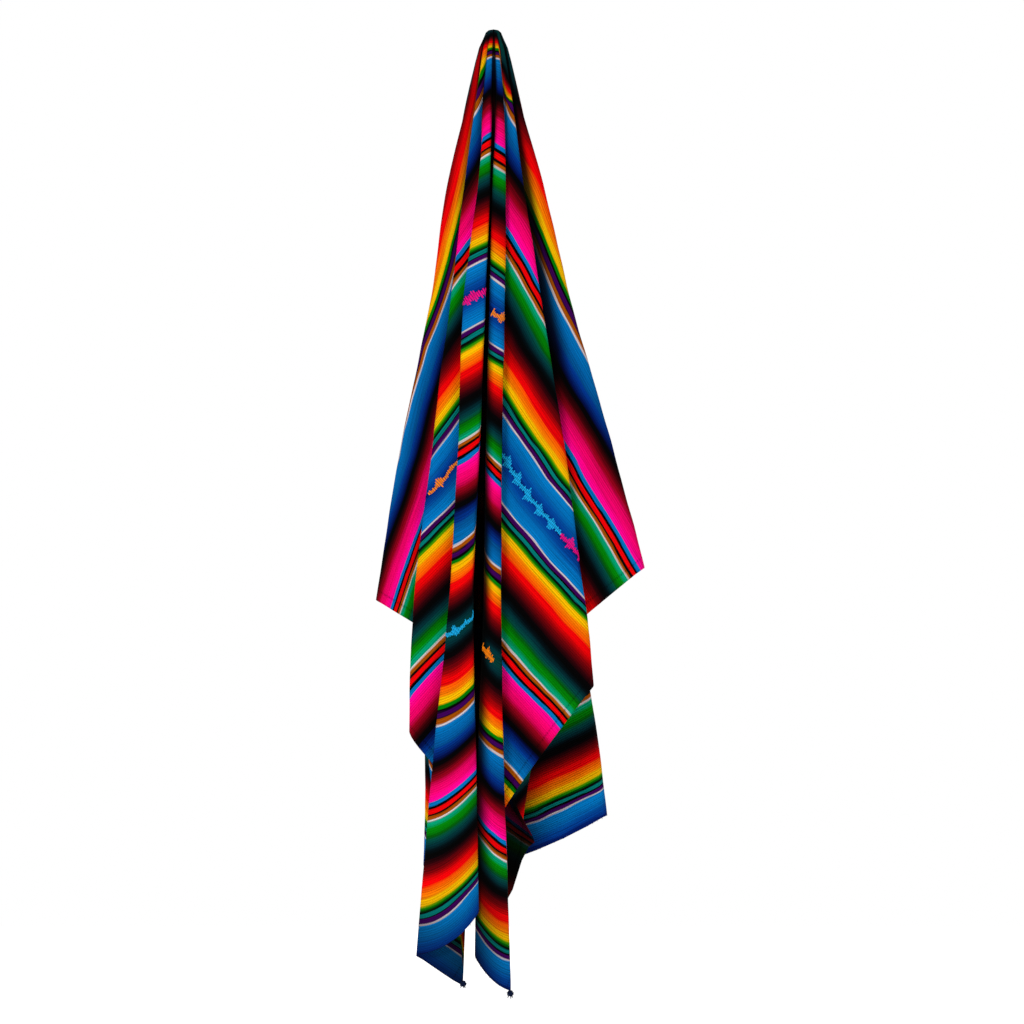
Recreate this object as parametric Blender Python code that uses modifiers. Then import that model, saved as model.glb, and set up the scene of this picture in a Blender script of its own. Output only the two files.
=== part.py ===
"""A striped serape hung by one point near its middle, as one folded woven cloth with two corner knots."""
import math

import bmesh
import bpy
import numpy as np
from mathutils import Vector

# Sizes
# One unit of the tables is 1.303 mm, and the hold point becomes the origin, with the front toward -Y.
UNIT = 0.001303
HALF_WIDTH = 525.0
HALF_LENGTH = 819.0
WALL = 0.0018
KNOT_SIZE = (0.0046, 0.0034, 0.0032)
KNOT_GAP = 0.0003
KNOTTED = ("left front corner", "right strip edge")
PASS_STEPS = 4
BODY_STEPS = 11
BODY_POWER = 1.25
FINE_STEP = 4.0
DEEPEST = 985.0
TOP_SETTLE = 260.0
APEX_ALONG = 4.0
APEX_SETTLE = 7.0
ROUND_TOP = 0.86

# Cap over the hold point, as drop below it and half width
CAP_DROP = (0.0, 0.8, 3.0, 8.0, 18.0, 32.0, 68.0)
CAP_HALF = (0.0, 4.5, 7.2, 9.2, 13.8, 17.5, 26.0)
CAP_VALLEY = (1.0, 0.99, 0.97, 0.94, 0.90, 0.84, 0.66)
CAP_MIDDLE = -1.5

# Levels of the fold table, as drop below the hold point, and how deep the bundle is at each
LEVEL_DROP = (150.0, 267.0, 420.0, 570.0, 730.0, 870.0)
LEVEL_DEPTH = (0.60, 0.84, 1.0, 1.08, 1.12, 1.08)
FLARE = 960.0
FLARE_DEPTH = 1.05

# Folds in order round the cloth, from the front gap by the right side to the back and on round the left
# side: in for a valley, out for a crest, turn: place round the cap in degrees
# x150 to x870: place across at each level, depth: place front to back at the third level
# phi: direction on the flat cloth from the end that hangs in front, low and top: how far forward of the
# middle the line starts, seen from below and at the cap, bend: radius of the fold
# name, side, turn, x150, x267, x420, x570, x730, x870, depth, phi, low, top, bend
FOLDS = (
    ("front gap", "in", 1, -3.5, -7, -11.5, -16, -17.5, -20, 20, 0.0, 10, 50, 1.4),
    ("right lip 1", "in", 4, 1.5, -1.5, -5, -7.5, -9.5, -15, -11, 8.0, 8, 50, 1.0),
    ("right pocket", "in", 6, 13, 25, 42, 58, 14, 3, -17, 15.0, 4, 50, 1.2),
    ("right lip 2", "in", 8, 1, -2, -5.5, -8, -10, -10, -24, 22.0, 4, 50, 1.0),
    ("right strip inner", "out", 11, -1, -3.5, -7, -9, -15, -18.2, -48, 29.6, 6, 50, 1.0),
    ("right strip edge", "out", 20, 10, 9, 6, 5.5, 8, 12.5, -46, 32.9, 8, 50, 2.4),
    ("right strip back", "in", 32, 4, 3, 1.5, 1, 1, 3, -33, 41.4, -72, 48, 2.0),
    ("right panel edge", "out", 42, 27, 45, 69, 89.5, 104, 116, -36, 51.9, -72, 45, 3.0),
    ("right panel back", "in", 55, 15, 25, 38, 53, 69, 80, -27, 57.5, -72, 12, 2.4),
    ("right sleeve edge", "out", 72, 46.5, 74, 117.5, 157, 196, 230, -17, 69.6, -70, 5, 3.0),
    ("right valley 3", "in", 86, 5, 7, 12, 22, 30, 36, -4, 85.0, -66, 0, 2.4),
    ("right fold 4", "out", 98, 41, 62, 96, 116, 130, 140, 1, 97.0, -62, -6, 2.6),
    ("right valley 4", "in", 106.5, 2, 1, -1, -4, -6, -5, 8, 111.0, -56, -15, 2.4),
    ("right fold 5", "out", 115, 37, 52, 70, 82, 88, 90, 14, 121.5, -54, -35, 2.6),
    ("right valley 5", "in", 123.5, 3, 2, 1, -4, -6, -6, 20, 132.0, -50, -40, 2.4),
    ("right fold 6", "out", 132, 29, 40, 52, 52, 6, 72, 25, 140.4, -45, -45, 2.6),
    ("right back corner", "in", 140, 6, 8, 8, 2, -8, -20, 30, 145.3, -55, -50, 2.4),
    ("right fold 7", "out", 148, 27, 38, 54, 66, 37, 16, 35, 151.0, -60, -55, 2.6),
    ("right valley 7", "in", 156, 8, 10, 10, 6, -2, -6, 40, 154.5, -60, -60, 2.4),
    ("right back edge", "out", 164, 28, 40, 60, 80, 105.5, 120, 46, 164.0, -60, -60, 3.0),
    ("back valley 1", "in", 171, 4, 4, 4, 0, -2, -2, 53, 171.0, -60, -60, 2.6),
    ("back fold", "out", 178, 24, 36, 54, 72, 84, 84, 60, 177.5, -60, -60, 3.0),
    ("back valley 2", "in", 186, -6, -8, -6, -4, -2, -2, 67, 184.5, -60, -60, 2.8),
    ("left fold 8", "out", 194, -34, -50, -72, -79, -66, -64, 59, 193.0, -60, -60, 3.0),
    ("left valley 8", "in", 201, -8, -10, -9, -8, -10, -12, 51, 200.0, -60, -60, 2.6),
    ("left back edge", "out", 208, -33, -48, -72, -78, -70, -72, 43, 206.5, -60, -60, 2.8),
    ("left back corner", "in", 216, -8, -10, -10, -12, -22, -34, 36, 214.5, -60, -55, 2.4),
    ("left fold 6", "out", 224, -34, -50, -74, -80, -66, -56, 30, 222.0, -64, -45, 2.6),
    ("left valley 6", "in", 232, -11, -14, -19, -22, -25, -23, 24, 229.2, -70, -35, 2.4),
    ("left fold 5", "out", 240, -36, -52, -76, -80, -76, -70, 18, 237.5, -76, -25, 2.6),
    ("left valley 5", "in", 248, -12, -15, -20, -24, -27, -25, 12, 245.8, -84, -15, 2.4),
    ("left fold 4", "out", 256, -39, -56, -84, -98, -102, -102, 6, 255.3, -92, -5, 2.6),
    ("left valley 4", "in", 264, -13, -17, -23, -28, -31, -29, 0, 264.8, -100, 5, 2.4),
    ("left fold 3", "out", 272, -42, -60, -88, -110, -117, -120, -6, 274.4, -106, 15, 2.6),
    ("left valley 3", "in", 280, -16, -21, -28, -36, -40, -38, -11, 284.0, -112, 26, 2.2),
    ("left sleeve edge", "out", 288, -46, -63, -94, -118, -142, -165, -20, 296.3, -136, 36, 2.8),
    ("left panel back", "in", 304, -20, -28, -40, -50, -54, -54, -30, 302.0, -80, 40, 2.2),
    ("left panel edge", "out", 322, -29, -43, -62, -80, -85, -86, -36, 312.9, -64, 45, 2.4),
    ("left strip back", "in", 333, -14, -18, -24, -29, -30, -18, -41, 317.5, -65, 45, 1.8),
    ("left front corner", "out", 338, -14, -24, -29, -36, -44, -36, -46, 326.7, 14, 50, 1.4),
    ("left strip edge", "out", 345, -15.5, -30, -36, -45, -61, -73, -51, 329.4, 12, 50, 2.0),
    ("left strip inner", "out", 352, -6, -11, -17, -23, -21, -18.6, -55, 332.8, 26, 50, 1.0),
    ("left lip 2", "in", 354, -8, -13, -19, -26.5, -27, -30, -30, 339.0, 25, 50, 1.0),
    ("left pocket", "in", 356, -18, -28, -45, -60, -52, -50, -24, 345.5, 24, 50, 1.2),
    ("left lip 1", "in", 358, -8.5, -13, -19, -26, -27, -30, -16, 352.5, 24, 50, 1.0),
)


def smooth(xs, ys, at):
    """Cubic through a short table, with slopes taken from its neighbours."""
    xs = np.asarray(xs, float)
    ys = np.asarray(ys, float)
    slope = np.gradient(ys, xs)
    i = np.clip(np.searchsorted(xs, at, side="right") - 1, 0, len(xs) - 2)
    width = xs[i + 1] - xs[i]
    w = (at - xs[i]) / width
    a = (1 + 2 * w) * (1 - w) ** 2 * ys[i]
    b = w * (1 - w) ** 2 * width * slope[i]
    c = w * w * (3 - 2 * w) * ys[i + 1]
    d = w * w * (w - 1) * width * slope[i + 1]
    return a + b + c + d


def fold_lines(drops):
    """Places of every fold line at each drop, as x and depth."""
    cap = [np.interp(d, CAP_DROP, CAP_HALF) for d in CAP_DROP]
    xs = np.zeros((len(drops), len(FOLDS)))
    ys = np.zeros_like(xs)
    for k, row in enumerate(FOLDS):
        turn = math.radians(row[2])
        inner = CAP_VALLEY if row[1] == "in" else [1.0] * len(CAP_DROP)
        cap_x = [CAP_MIDDLE + math.sin(turn) * c * v for c, v in zip(cap, inner)]
        cap_y = [-math.cos(turn) * c * v * ROUND_TOP for c, v in zip(cap, inner)]
        cap_x[0] = CAP_MIDDLE
        low_x = list(row[3:9])
        last = low_x[-1] + (low_x[-1] - low_x[-2]) * (FLARE - LEVEL_DROP[-1]) / 140.0
        low_y = [row[9] * f for f in LEVEL_DEPTH]
        levels = list(CAP_DROP[5:]) + list(LEVEL_DROP) + [FLARE]
        line_x = cap_x[5:] + low_x + [last]
        line_y = cap_y[5:] + low_y + [row[9] * FLARE_DEPTH]
        below = smooth(levels, line_x, drops)
        behind = smooth(levels, line_y, drops)
        over = np.interp(drops, CAP_DROP, cap_x)
        front = np.interp(drops, CAP_DROP, cap_y)
        xs[:, k] = np.where(drops < CAP_DROP[5], over, below)
        ys[:, k] = np.where(drops < CAP_DROP[5], front, behind)
    return xs, ys


def sheet_lines(drops, xs, ys):
    """Where each fold line lies on the flat cloth at each drop, across and along it."""
    step = np.sqrt(np.diff(xs, axis=0) ** 2 + np.diff(ys, axis=0) ** 2 + np.diff(drops)[:, None] ** 2)
    run = np.vstack([np.zeros(len(FOLDS)), np.cumsum(step, axis=0)])
    phi = np.radians([row[10] for row in FOLDS])
    low = np.array([row[11] for row in FOLDS])
    top = np.array([row[12] for row in FOLDS])
    across = run * np.sin(phi)
    along = low + (top - low) * np.exp(-run / TOP_SETTLE) + run * np.cos(phi)
    along -= (top - APEX_ALONG) * np.exp(-run / APEX_SETTLE)
    return across, along


def ring(xs, ys, across, along, bend, steps):
    """One level of the cloth: a rounded pass between each fold and the next."""
    here = np.stack([xs, ys], axis=1)
    after = np.roll(here, -1, axis=0)
    before = np.roll(here, 1, axis=0)
    ahead = after - here
    back = before - here
    chord = np.maximum(np.linalg.norm(ahead, axis=1), 1e-9)
    chord_back = np.maximum(np.linalg.norm(back, axis=1), 1e-9)
    tangent = ahead / chord[:, None] - back / chord_back[:, None]
    tangent /= np.maximum(np.linalg.norm(tangent, axis=1), 1e-9)[:, None]
    out = []
    for k in range(len(xs)):
        n = (k + 1) % len(xs)
        m0 = tangent[k] * min(math.sqrt(6 * chord[k] * bend[k]), 1.2 * chord[k])
        m1 = tangent[n] * min(math.sqrt(6 * chord[k] * bend[n]), 1.2 * chord[k])
        w = np.linspace(0, 1, 33)[:, None]
        path = (1 + 2 * w) * (1 - w) ** 2 * here[k] + w * (1 - w) ** 2 * m0
        path = path + w * w * (3 - 2 * w) * here[n] + w * w * (w - 1) * m1
        run = np.concatenate([[0], np.cumsum(np.linalg.norm(np.diff(path, axis=0), axis=1))])
        run = run / max(run[-1], 1e-9)
        for j in range(steps):
            at = j / steps
            at = at - 0.07 * math.sin(4 * math.pi * at) if steps > 2 else at
            x = np.interp(at, run, path[:, 0])
            y = np.interp(at, run, path[:, 1])
            s = across[k] + (across[n] - across[k]) * at
            t = along[k] + (along[n] - along[k]) * at
            out.append((x, y, s, t))
    return np.array(out)


def cloth_grid():
    """Points of the cloth from the hold point down to its edge, one column per line."""
    drops = np.concatenate([CAP_DROP[1:5], np.arange(32.0, DEEPEST + FINE_STEP, FINE_STEP)])
    drops = np.concatenate([[0.0], drops])
    xs, ys = fold_lines(drops)
    across, along = sheet_lines(drops, xs, ys)
    bend = np.array([row[13] for row in FOLDS])
    scale = np.interp(drops, (0, 32, 150, 300), (0.25, 0.45, 0.7, 1.0))
    rings = [ring(xs[i], ys[i], across[i], along[i], bend * scale[i], PASS_STEPS) for i in range(len(drops))]
    fine = np.stack(rings)
    columns = []
    for c in range(fine.shape[1]):
        line = fine[:, c]
        over = np.maximum(np.abs(line[:, 2]) / HALF_WIDTH, np.abs(line[:, 3]) / HALF_LENGTH)
        last = int(np.argmax(over > 1)) if (over > 1).any() else len(over) - 1
        share = (1 - over[last - 1]) / (over[last] - over[last - 1])
        end = drops[last - 1] + (drops[last] - drops[last - 1]) * min(share, 1)
        body = 32 + (end - 32) * (np.arange(BODY_STEPS + 1) / BODY_STEPS) ** BODY_POWER
        levels = np.concatenate([CAP_DROP[1:5], body])
        x = np.interp(levels, drops, line[:, 0])
        y = np.interp(levels, drops, line[:, 1])
        columns.append(np.stack([x - CAP_MIDDLE, y, -levels], axis=1) * UNIT)
    return np.stack(columns)


def add_object(name, mesh, collection, material):
    """Link a mesh under its own name with its own material."""
    item = bpy.data.objects.new(name, mesh)
    collection.objects.link(item)
    mesh.materials.append(material)
    return item


def cloth_material(name, colour):
    """A plain woven material."""
    material = bpy.data.materials.new(name)
    material.use_nodes = True
    shader = material.node_tree.nodes["Principled BSDF"]
    shader.inputs["Base Color"].default_value = (*colour, 1)
    shader.inputs["Roughness"].default_value = 0.9
    return material


def build_cloth(collection):
    """The one folded cloth, with its wall. Returns the places of the corners that are knotted."""
    grid = cloth_grid()
    work = bmesh.new()
    pole = work.verts.new((0, 0, 0))
    verts = [[work.verts.new(p) for p in column] for column in grid]
    count = len(verts)
    for c in range(count):
        n = (c + 1) % count
        work.faces.new((pole, verts[c][0], verts[n][0]))
        for r in range(len(verts[c]) - 1):
            work.faces.new((verts[c][r], verts[c][r + 1], verts[n][r + 1], verts[n][r]))
    mesh = bpy.data.meshes.new("serape_cloth")
    work.to_mesh(mesh)
    work.free()
    item = add_object("serape_cloth", mesh, collection, cloth_material("woven_wool", (0.03, 0.16, 0.42)))
    wall = item.modifiers.new("wall", "SOLIDIFY")
    wall.thickness = WALL
    wall.offset = 0
    names = [row[0] for row in FOLDS]
    return {n: tuple(grid[names.index(n) * PASS_STEPS][-1]) for n in KNOTTED}


def build_knot(collection, name, corner):
    """A small knot of tied warp ends just under a corner of the cloth."""
    work = bmesh.new()
    bmesh.ops.create_icosphere(work, subdivisions=2, radius=1.0)
    centre = Vector(corner) - Vector((0, 0, KNOT_SIZE[2] + KNOT_GAP))
    for vert in work.verts:
        waist = 1.0 - 0.25 * max(0.0, vert.co.z)
        vert.co = Vector((vert.co.x * waist, vert.co.y * waist, vert.co.z))
        vert.co = centre + Vector([a * b for a, b in zip(vert.co, KNOT_SIZE)])
    mesh = bpy.data.meshes.new(name)
    work.to_mesh(mesh)
    work.free()
    add_object(name, mesh, collection, cloth_material("tied_wool_ends", (0.01, 0.02, 0.12)))


def main():
    """Build every piece."""
    for item in list(bpy.data.objects):
        bpy.data.objects.remove(item)
    collection = bpy.data.collections.new("hanging_serape")
    bpy.context.scene.collection.children.link(collection)
    corners = build_cloth(collection)
    build_knot(collection, "left_corner_knot", corners["left front corner"])
    build_knot(collection, "right_corner_knot", corners["right strip edge"])


main()
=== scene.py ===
"""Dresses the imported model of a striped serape, a hand-woven wool blanket hung near its middle."""

import logging
import math
import random
from dataclasses import dataclass, field
from enum import Enum
from typing import Any, Sequence

import bmesh
import bpy
import numpy as np
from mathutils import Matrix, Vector
from mathutils.bvhtree import BVHTree


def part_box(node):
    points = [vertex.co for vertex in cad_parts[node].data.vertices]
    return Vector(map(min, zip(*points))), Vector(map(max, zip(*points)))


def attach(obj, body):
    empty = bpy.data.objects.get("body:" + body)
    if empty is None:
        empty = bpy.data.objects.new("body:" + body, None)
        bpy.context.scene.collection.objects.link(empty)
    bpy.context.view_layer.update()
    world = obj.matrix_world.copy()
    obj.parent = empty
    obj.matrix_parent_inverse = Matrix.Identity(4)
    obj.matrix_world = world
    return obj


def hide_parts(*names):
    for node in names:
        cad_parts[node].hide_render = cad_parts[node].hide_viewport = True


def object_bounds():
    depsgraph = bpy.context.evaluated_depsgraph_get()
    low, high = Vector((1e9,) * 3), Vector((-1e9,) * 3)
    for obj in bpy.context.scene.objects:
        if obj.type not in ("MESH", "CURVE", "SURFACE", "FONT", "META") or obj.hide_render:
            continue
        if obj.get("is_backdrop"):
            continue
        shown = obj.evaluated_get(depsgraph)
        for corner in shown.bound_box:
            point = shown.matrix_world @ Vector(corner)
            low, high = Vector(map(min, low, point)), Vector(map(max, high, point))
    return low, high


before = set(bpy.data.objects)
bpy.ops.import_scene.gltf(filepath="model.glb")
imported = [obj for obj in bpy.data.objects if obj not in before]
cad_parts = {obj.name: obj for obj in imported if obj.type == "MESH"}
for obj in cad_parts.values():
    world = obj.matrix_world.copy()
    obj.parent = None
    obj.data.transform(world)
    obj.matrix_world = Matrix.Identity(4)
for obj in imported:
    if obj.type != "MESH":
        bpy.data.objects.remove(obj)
LOG = logging.getLogger("serape")

# One unit of the fold table is 1.303 mm. The flat cloth is 1.368 m across and 2.134 m long.
UNIT = 0.001303
HALF_WIDTH = 525.0
HALF_LENGTH = 819.0
STRIPE_REPEAT = 273.0
WALL = 0.0017
DEEPEST = 985.0
TOP_SETTLE = 260.0
APEX_ALONG = 4.0
APEX_SETTLE = 20.0
SOFT_TIP = 10.0
ROUND_TOP = 0.86
CAP_MIDDLE = -1.5
CAP_DROP = (0.0, 0.8, 3.0, 8.0, 18.0, 32.0, 68.0)
CAP_HALF = (0.0, 4.5, 7.2, 9.2, 13.8, 17.5, 26.0)
CAP_VALLEY = (1.0, 0.99, 0.97, 0.94, 0.90, 0.84, 0.66)
LEVEL_DROP = (150.0, 267.0, 420.0, 570.0, 730.0, 870.0)
LEVEL_DEPTH = (0.60, 0.84, 1.0, 1.08, 1.12, 1.08)
FLARE = 960.0
FLARE_DEPTH = 1.05
BOW_DROP = 860.0
# Metres from the cloth's middle to the stitches of the side hem, and to where its turn of cloth begins
SIDE_STITCH = 0.6725
SIDE_TURN = 0.6705
# Places in a point of the grid, after x, y and z; the last, the valley share, sets the painted shade in the
# folds
ACROSS, ALONG, VALLEY = 3, 4, 5


class Turn(Enum):
    """Which way a fold line stands: out as a crest, or in as a valley."""

    CREST = "out"
    VALLEY = "in"


class Figure(Enum):
    """Small brocaded figures, charted: how far each stitch reaches over the band, in units."""

    ARROW = (3.4, 5.2, 3.4, 5.2, 3.4, 5.6, 13.5, 11, 8.5, 6)
    WING = (3, 5, 4, 7, 9, 6, 8, 12, 9, 6, 8, 5, 8, 4)
    COMB = (3.6, 4.6, 3.6, 4.4, 3.6, 5, 8, 11.5, 9.5, 6.5, 4.6, 3.6, 4.6, 3.6, 4.6, 3.6, 6, 4.4)
    HOOK = (9, 5, 4.5, 4, 4.5, 8, 12, 10, 6, 8, 5)


@dataclass(frozen=True)
class Fold:
    """One fold line of the hanging cloth, in units of the table.

    Args:
        name: place of the line round the cloth.
        turn: crest or valley.
        cap: place round the hold point, in degrees.
        across: place across at each level.
        depth: place front to back at the third level.
        phi: direction on the flat cloth from the end that hangs in front, in degrees.
        low: how far forward of the middle the line starts, seen from below.
        top: the same, seen at the hold point.
        bend: radius of the fold.
    """

    name: str
    turn: Turn
    cap: float
    across: tuple[float, ...]
    depth: float
    phi: float
    low: float
    top: float
    bend: float


# name, turn, cap, x150, x267, x420, x570, x730, x870, depth, phi, low, top, bend
FOLD_TABLE = (
    ("front gap", "in", 1, -3.5, -7, -11.5, -16, -17.5, -20, 20, 0.0, 10, 50, 1.4),
    ("right lip 1", "in", 4, 1.5, -1.5, -5, -7.5, -9.5, -15, -11, 8.0, 8, 50, 1.0),
    ("right pocket", "in", 6, 13, 25, 42, 58, 14, 3, -17, 15.0, 4, 50, 1.2),
    ("right lip 2", "in", 8, 1, -2, -5.5, -8, -10, -10, -24, 22.0, 4, 50, 1.0),
    ("right strip inner", "out", 11, -1, -3.5, -7, -9, -16.2, -18.2, -48, 29.6, 6, 50, 1.0),
    ("right strip edge", "out", 20, 10, 9, 6, 5.5, 8, 12.5, -46, 32.9, 8, 50, 2.4),
    ("right strip back", "in", 32, 4, 3, 1.5, 1, 1, 3, -33, 41.4, -72, 48, 2.0),
    ("right panel edge", "out", 42, 27, 45, 69, 89.5, 104, 116, -36, 51.9, -72, 45, 3.0),
    ("right panel back", "in", 55, 15, 25, 38, 53, 69, 80, -27, 57.5, -72, 12, 2.4),
    ("right sleeve edge", "out", 72, 46.5, 74, 117.5, 157, 196, 230, -17, 69.6, -70, 5, 3.0),
    ("right valley 3", "in", 86, 5, 7, 12, 22, 30, 36, -4, 85.0, -66, 0, 2.4),
    ("right fold 4", "out", 98, 41, 62, 96, 116, 130, 140, 1, 97.0, -62, -6, 2.6),
    ("right valley 4", "in", 106.5, 2, 1, -1, -4, -6, -5, 8, 111.0, -56, -15, 2.4),
    ("right fold 5", "out", 115, 37, 52, 70, 82, 88, 90, 14, 121.5, -54, -35, 2.6),
    ("right valley 5", "in", 123.5, 3, 2, 1, -4, -6, -6, 20, 132.0, -50, -40, 2.4),
    ("right fold 6", "out", 132, 29, 40, 52, 52, 6, 72, 25, 140.4, -45, -45, 2.6),
    ("right back corner", "in", 140, 6, 8, 8, 2, -8, -14, 30, 145.3, -55, -50, 2.4),
    ("right fold 7", "out", 148, 27, 38, 54, 66, 37, 16, 35, 151.0, -60, -55, 2.6),
    ("right valley 7", "in", 156, 8, 10, 10, 6, -2, -6, 40, 154.5, -60, -60, 2.4),
    ("right back edge", "out", 164, 28, 40, 60, 80, 105.5, 120, 46, 164.0, -60, -60, 3.0),
    ("back valley 1", "in", 171, 4, 4, 4, 0, -2, -2, 53, 171.0, -60, -60, 2.6),
    ("back fold", "out", 178, 24, 36, 54, 72, 84, 84, 60, 177.5, -60, -60, 3.0),
    ("back valley 2", "in", 186, -6, -8, -6, -4, -2, -2, 67, 184.5, -60, -60, 2.8),
    ("left fold 8", "out", 194, -34, -50, -72, -79, -66, -64, 59, 193.0, -60, -60, 3.0),
    ("left valley 8", "in", 201, -8, -10, -9, -8, -10, -12, 51, 200.0, -60, -60, 2.6),
    ("left back edge", "out", 208, -33, -48, -72, -78, -70, -72, 43, 206.5, -60, -60, 2.8),
    ("left back corner", "in", 216, -8, -10, -10, -12, -22, -34, 36, 214.5, -60, -55, 2.4),
    ("left fold 6", "out", 224, -34, -50, -74, -80, -66, -56, 30, 222.0, -64, -45, 2.6),
    ("left valley 6", "in", 232, -11, -14, -19, -22, -25, -23, 24, 229.2, -70, -35, 2.4),
    ("left fold 5", "out", 240, -36, -52, -76, -80, -76, -70, 18, 237.5, -76, -25, 2.6),
    ("left valley 5", "in", 248, -12, -15, -20, -24, -27, -25, 12, 245.8, -84, -15, 2.4),
    ("left fold 4", "out", 256, -39, -56, -84, -98, -102, -102, 6, 255.3, -92, -5, 2.6),
    ("left valley 4", "in", 264, -13, -17, -23, -28, -31, -29, 0, 264.8, -100, 5, 2.4),
    ("left fold 3", "out", 272, -42, -60, -88, -110, -117, -120, -6, 274.4, -106, 15, 2.6),
    ("left valley 3", "in", 280, -16, -21, -28, -36, -40, -38, -11, 284.0, -112, 26, 2.2),
    ("left sleeve edge", "out", 288, -46, -63, -94, -118, -142, -165, -20, 296.3, -136, 36, 2.8),
    ("left panel back", "in", 304, -20, -28, -40, -50, -54, -54, -30, 302.0, -80, 40, 2.2),
    ("left panel edge", "out", 322, -29, -43, -62, -80, -85, -86, -36, 312.9, -64, 45, 2.4),
    ("left strip back", "in", 333, -14, -18, -24, -29, -30, -18, -41, 317.5, -65, 45, 1.8),
    ("left front corner", "out", 338, -14, -24, -29, -36, -44, -36, -46, 326.7, 14, 50, 1.4),
    ("left strip edge", "out", 345, -15.5, -30, -36, -45, -61, -73, -51, 329.4, 12, 50, 2.0),
    ("left strip inner", "out", 352, -6, -11, -17, -23, -19.6, -16.8, -55, 332.8, 26, 50, 1.0),
    ("left lip 2", "in", 354, -8, -13, -19, -26.5, -27, -30, -30, 339.0, 25, 50, 1.0),
    ("left pocket", "in", 356, -18, -28, -45, -60, -52, -50, -24, 345.5, 24, 50, 1.2),
    ("left lip 1", "in", 358, -8.5, -13, -19, -26, -27, -30, -16, 352.5, 24, 50, 1.0),
)


@dataclass(frozen=True)
class Crease:
    """A soft trough or ridge in the cloth, on a line between two places of the flat sheet, in units.

    Args:
        start: across and along, where it starts.
        end: across and along, where it ends.
        width: half width.
        height: height outward, less than zero for a trough.
    """

    start: tuple[float, float]
    end: tuple[float, float]
    width: float
    height: float


@dataclass(frozen=True)
class FigureRow:
    """A row of brocaded figures on a band of the cloth, one close after the other.

    Args:
        along: the band's middle, along the cloth, in units.
        across: first and last place across, in units.
        figure: the charted figure.
        colour: sRGB hex of its yarn.
    """

    along: float
    across: tuple[float, float]
    figure: Figure
    colour: str


# Where single fold lines swing from the plain rule along the cloth: runs from the hold point, shifts
SWINGS = {
    "left sleeve edge": ((0, 280, 330, 385, 440, 490, 540, 600), (0, 0, 6, -4, -20, -24, -26, -31)),
    "left panel back": ((0, 340, 385, 440, 490, 540, 600), (0, 0, -4, -10, -12, -16, -27)),
    "left panel edge": ((0, 175, 255, 340, 460, 500, 620), (0, -4, -1, -9, -9, -3, -1)),
    "left strip back": ((0, 100, 600), (0, 7, 7)),
    "left strip edge": ((0, 100, 175, 500, 665, 750, 800, 915), (0, 3, 5, 4, 1, -3, 0, 4)),
    "left strip inner": ((0, 255, 340, 420, 500, 665, 750, 830, 872, 905),
                         (0, -2, -4, -8, -11, -12, -5, 1, 5, 0)),
    "right strip inner": ((0, 480, 600, 800, 850, 900), (0, 1, -7, -7, -5, 0)),
    "right strip edge": ((0, 250, 340, 500, 600, 700, 790, 840, 880, 915),
                         (0, -2, 3, 3, -4, -6, -10, -8, -2, 0)),
    "right strip back": ((0, 12, 24, 39, 52, 66, 120, 160, 240, 300, 378, 430, 480, 560, 620),
                         (0, -10, -47, -48, -20, 0, 4, 11, 14, 10, 6, 5, -2, -5, -7)),
    "right panel edge": ((0, 12, 24, 39, 57, 70, 80, 200, 285, 330, 366, 462, 590, 680),
                         (0, -10, -43, -45, -43, -24, 0, 13, 4, -3, 0, -6, 1, 2)),
    "right panel back": ((0, 12, 24, 39, 57, 76, 108, 150, 225, 262, 325),
                         (0, 0, -12, -13, -12, -8, 0, 8, 16, 8, 0)),
    "right sleeve edge": ((0, 60, 108, 128, 178, 208, 280, 320, 380), (0, 0, 9, 12, 9, 6, 5, 3, 0)),
    "right valley 7": ((0, 420, 640, 760, 900), (0, 0, 13, 7, 3)),
    "right back edge": ((0, 420, 640, 760, 900), (0, 0, 16, 14, 12)),
}
# How far the stripes bow along the cloth between a fold line and the next, near the hem
BOWS = {"left strip edge": -8.0, "right strip inner": -5.0, "right valley 7": 5.0}
# How deep in painted shade single fold lines lie, at the first four of these drops; the material darkens
# their colour by it
PAINTED_SHADE_DROP = (200, 320, 420, 800, 890)
PAINTED_SHADES = {
    **dict.fromkeys(("front gap", "right lip 1", "right pocket", "right lip 2"), (1.0,) * 4),
    "right strip inner": (0.6, 0.75, 0.85, 1.05),
    "right strip back": (0.4, 0.4, 0.5, 0.6),
    "right panel back": (2.0, 2.0, 0.6, 0.75),
    "right valley 5": (0.8, 0.8, 0.8, 1.1),
    "right fold 6": (0.0, 0.0, 0.0, 1.0),
    "right back corner": (0.8, 0.8, 0.8, 1.2),
    "right valley 7": (0.8, 0.8, 0.8, 1.1),
    "left panel back": (1.2, 0.9, 0.75, 0.9),
    "left panel edge": (0.0, 0.0, 0.0, 0.5),
    "left strip back": (0.6, 0.55, 0.5, 0.6),
    "left front corner": (0.8, 0.8, 0.8, 0.75),
    "left strip inner": (0.45, 0.5, 0.5, 0.65),
    **dict.fromkeys(("left lip 2", "left pocket", "left lip 1"), (1.0,) * 4),
}
# The same painted shade at the last drop, where it differs from the one above it
HEM_PAINTED_SHADE = {
    "left front corner": 0.85,
    "left strip edge": 0.74,
    "left strip inner": 0.58,
    "right strip edge": 0.58,
    "right strip inner": 0.85,
}


def linear(code: str) -> tuple[float, float, float, float]:
    """Turns an sRGB hex value to linear.

    Args:
        code: six hex digits.

    Returns:
        Red, green, blue and alpha.
    """
    parts = [int(code[i:i + 2], 16) / 255 for i in (0, 2, 4)]
    red, green, blue = [p / 12.92 if p <= 0.04045 else ((p + 0.055) / 1.055) ** 2.4 for p in parts]
    return red, green, blue, 1.0


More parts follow.
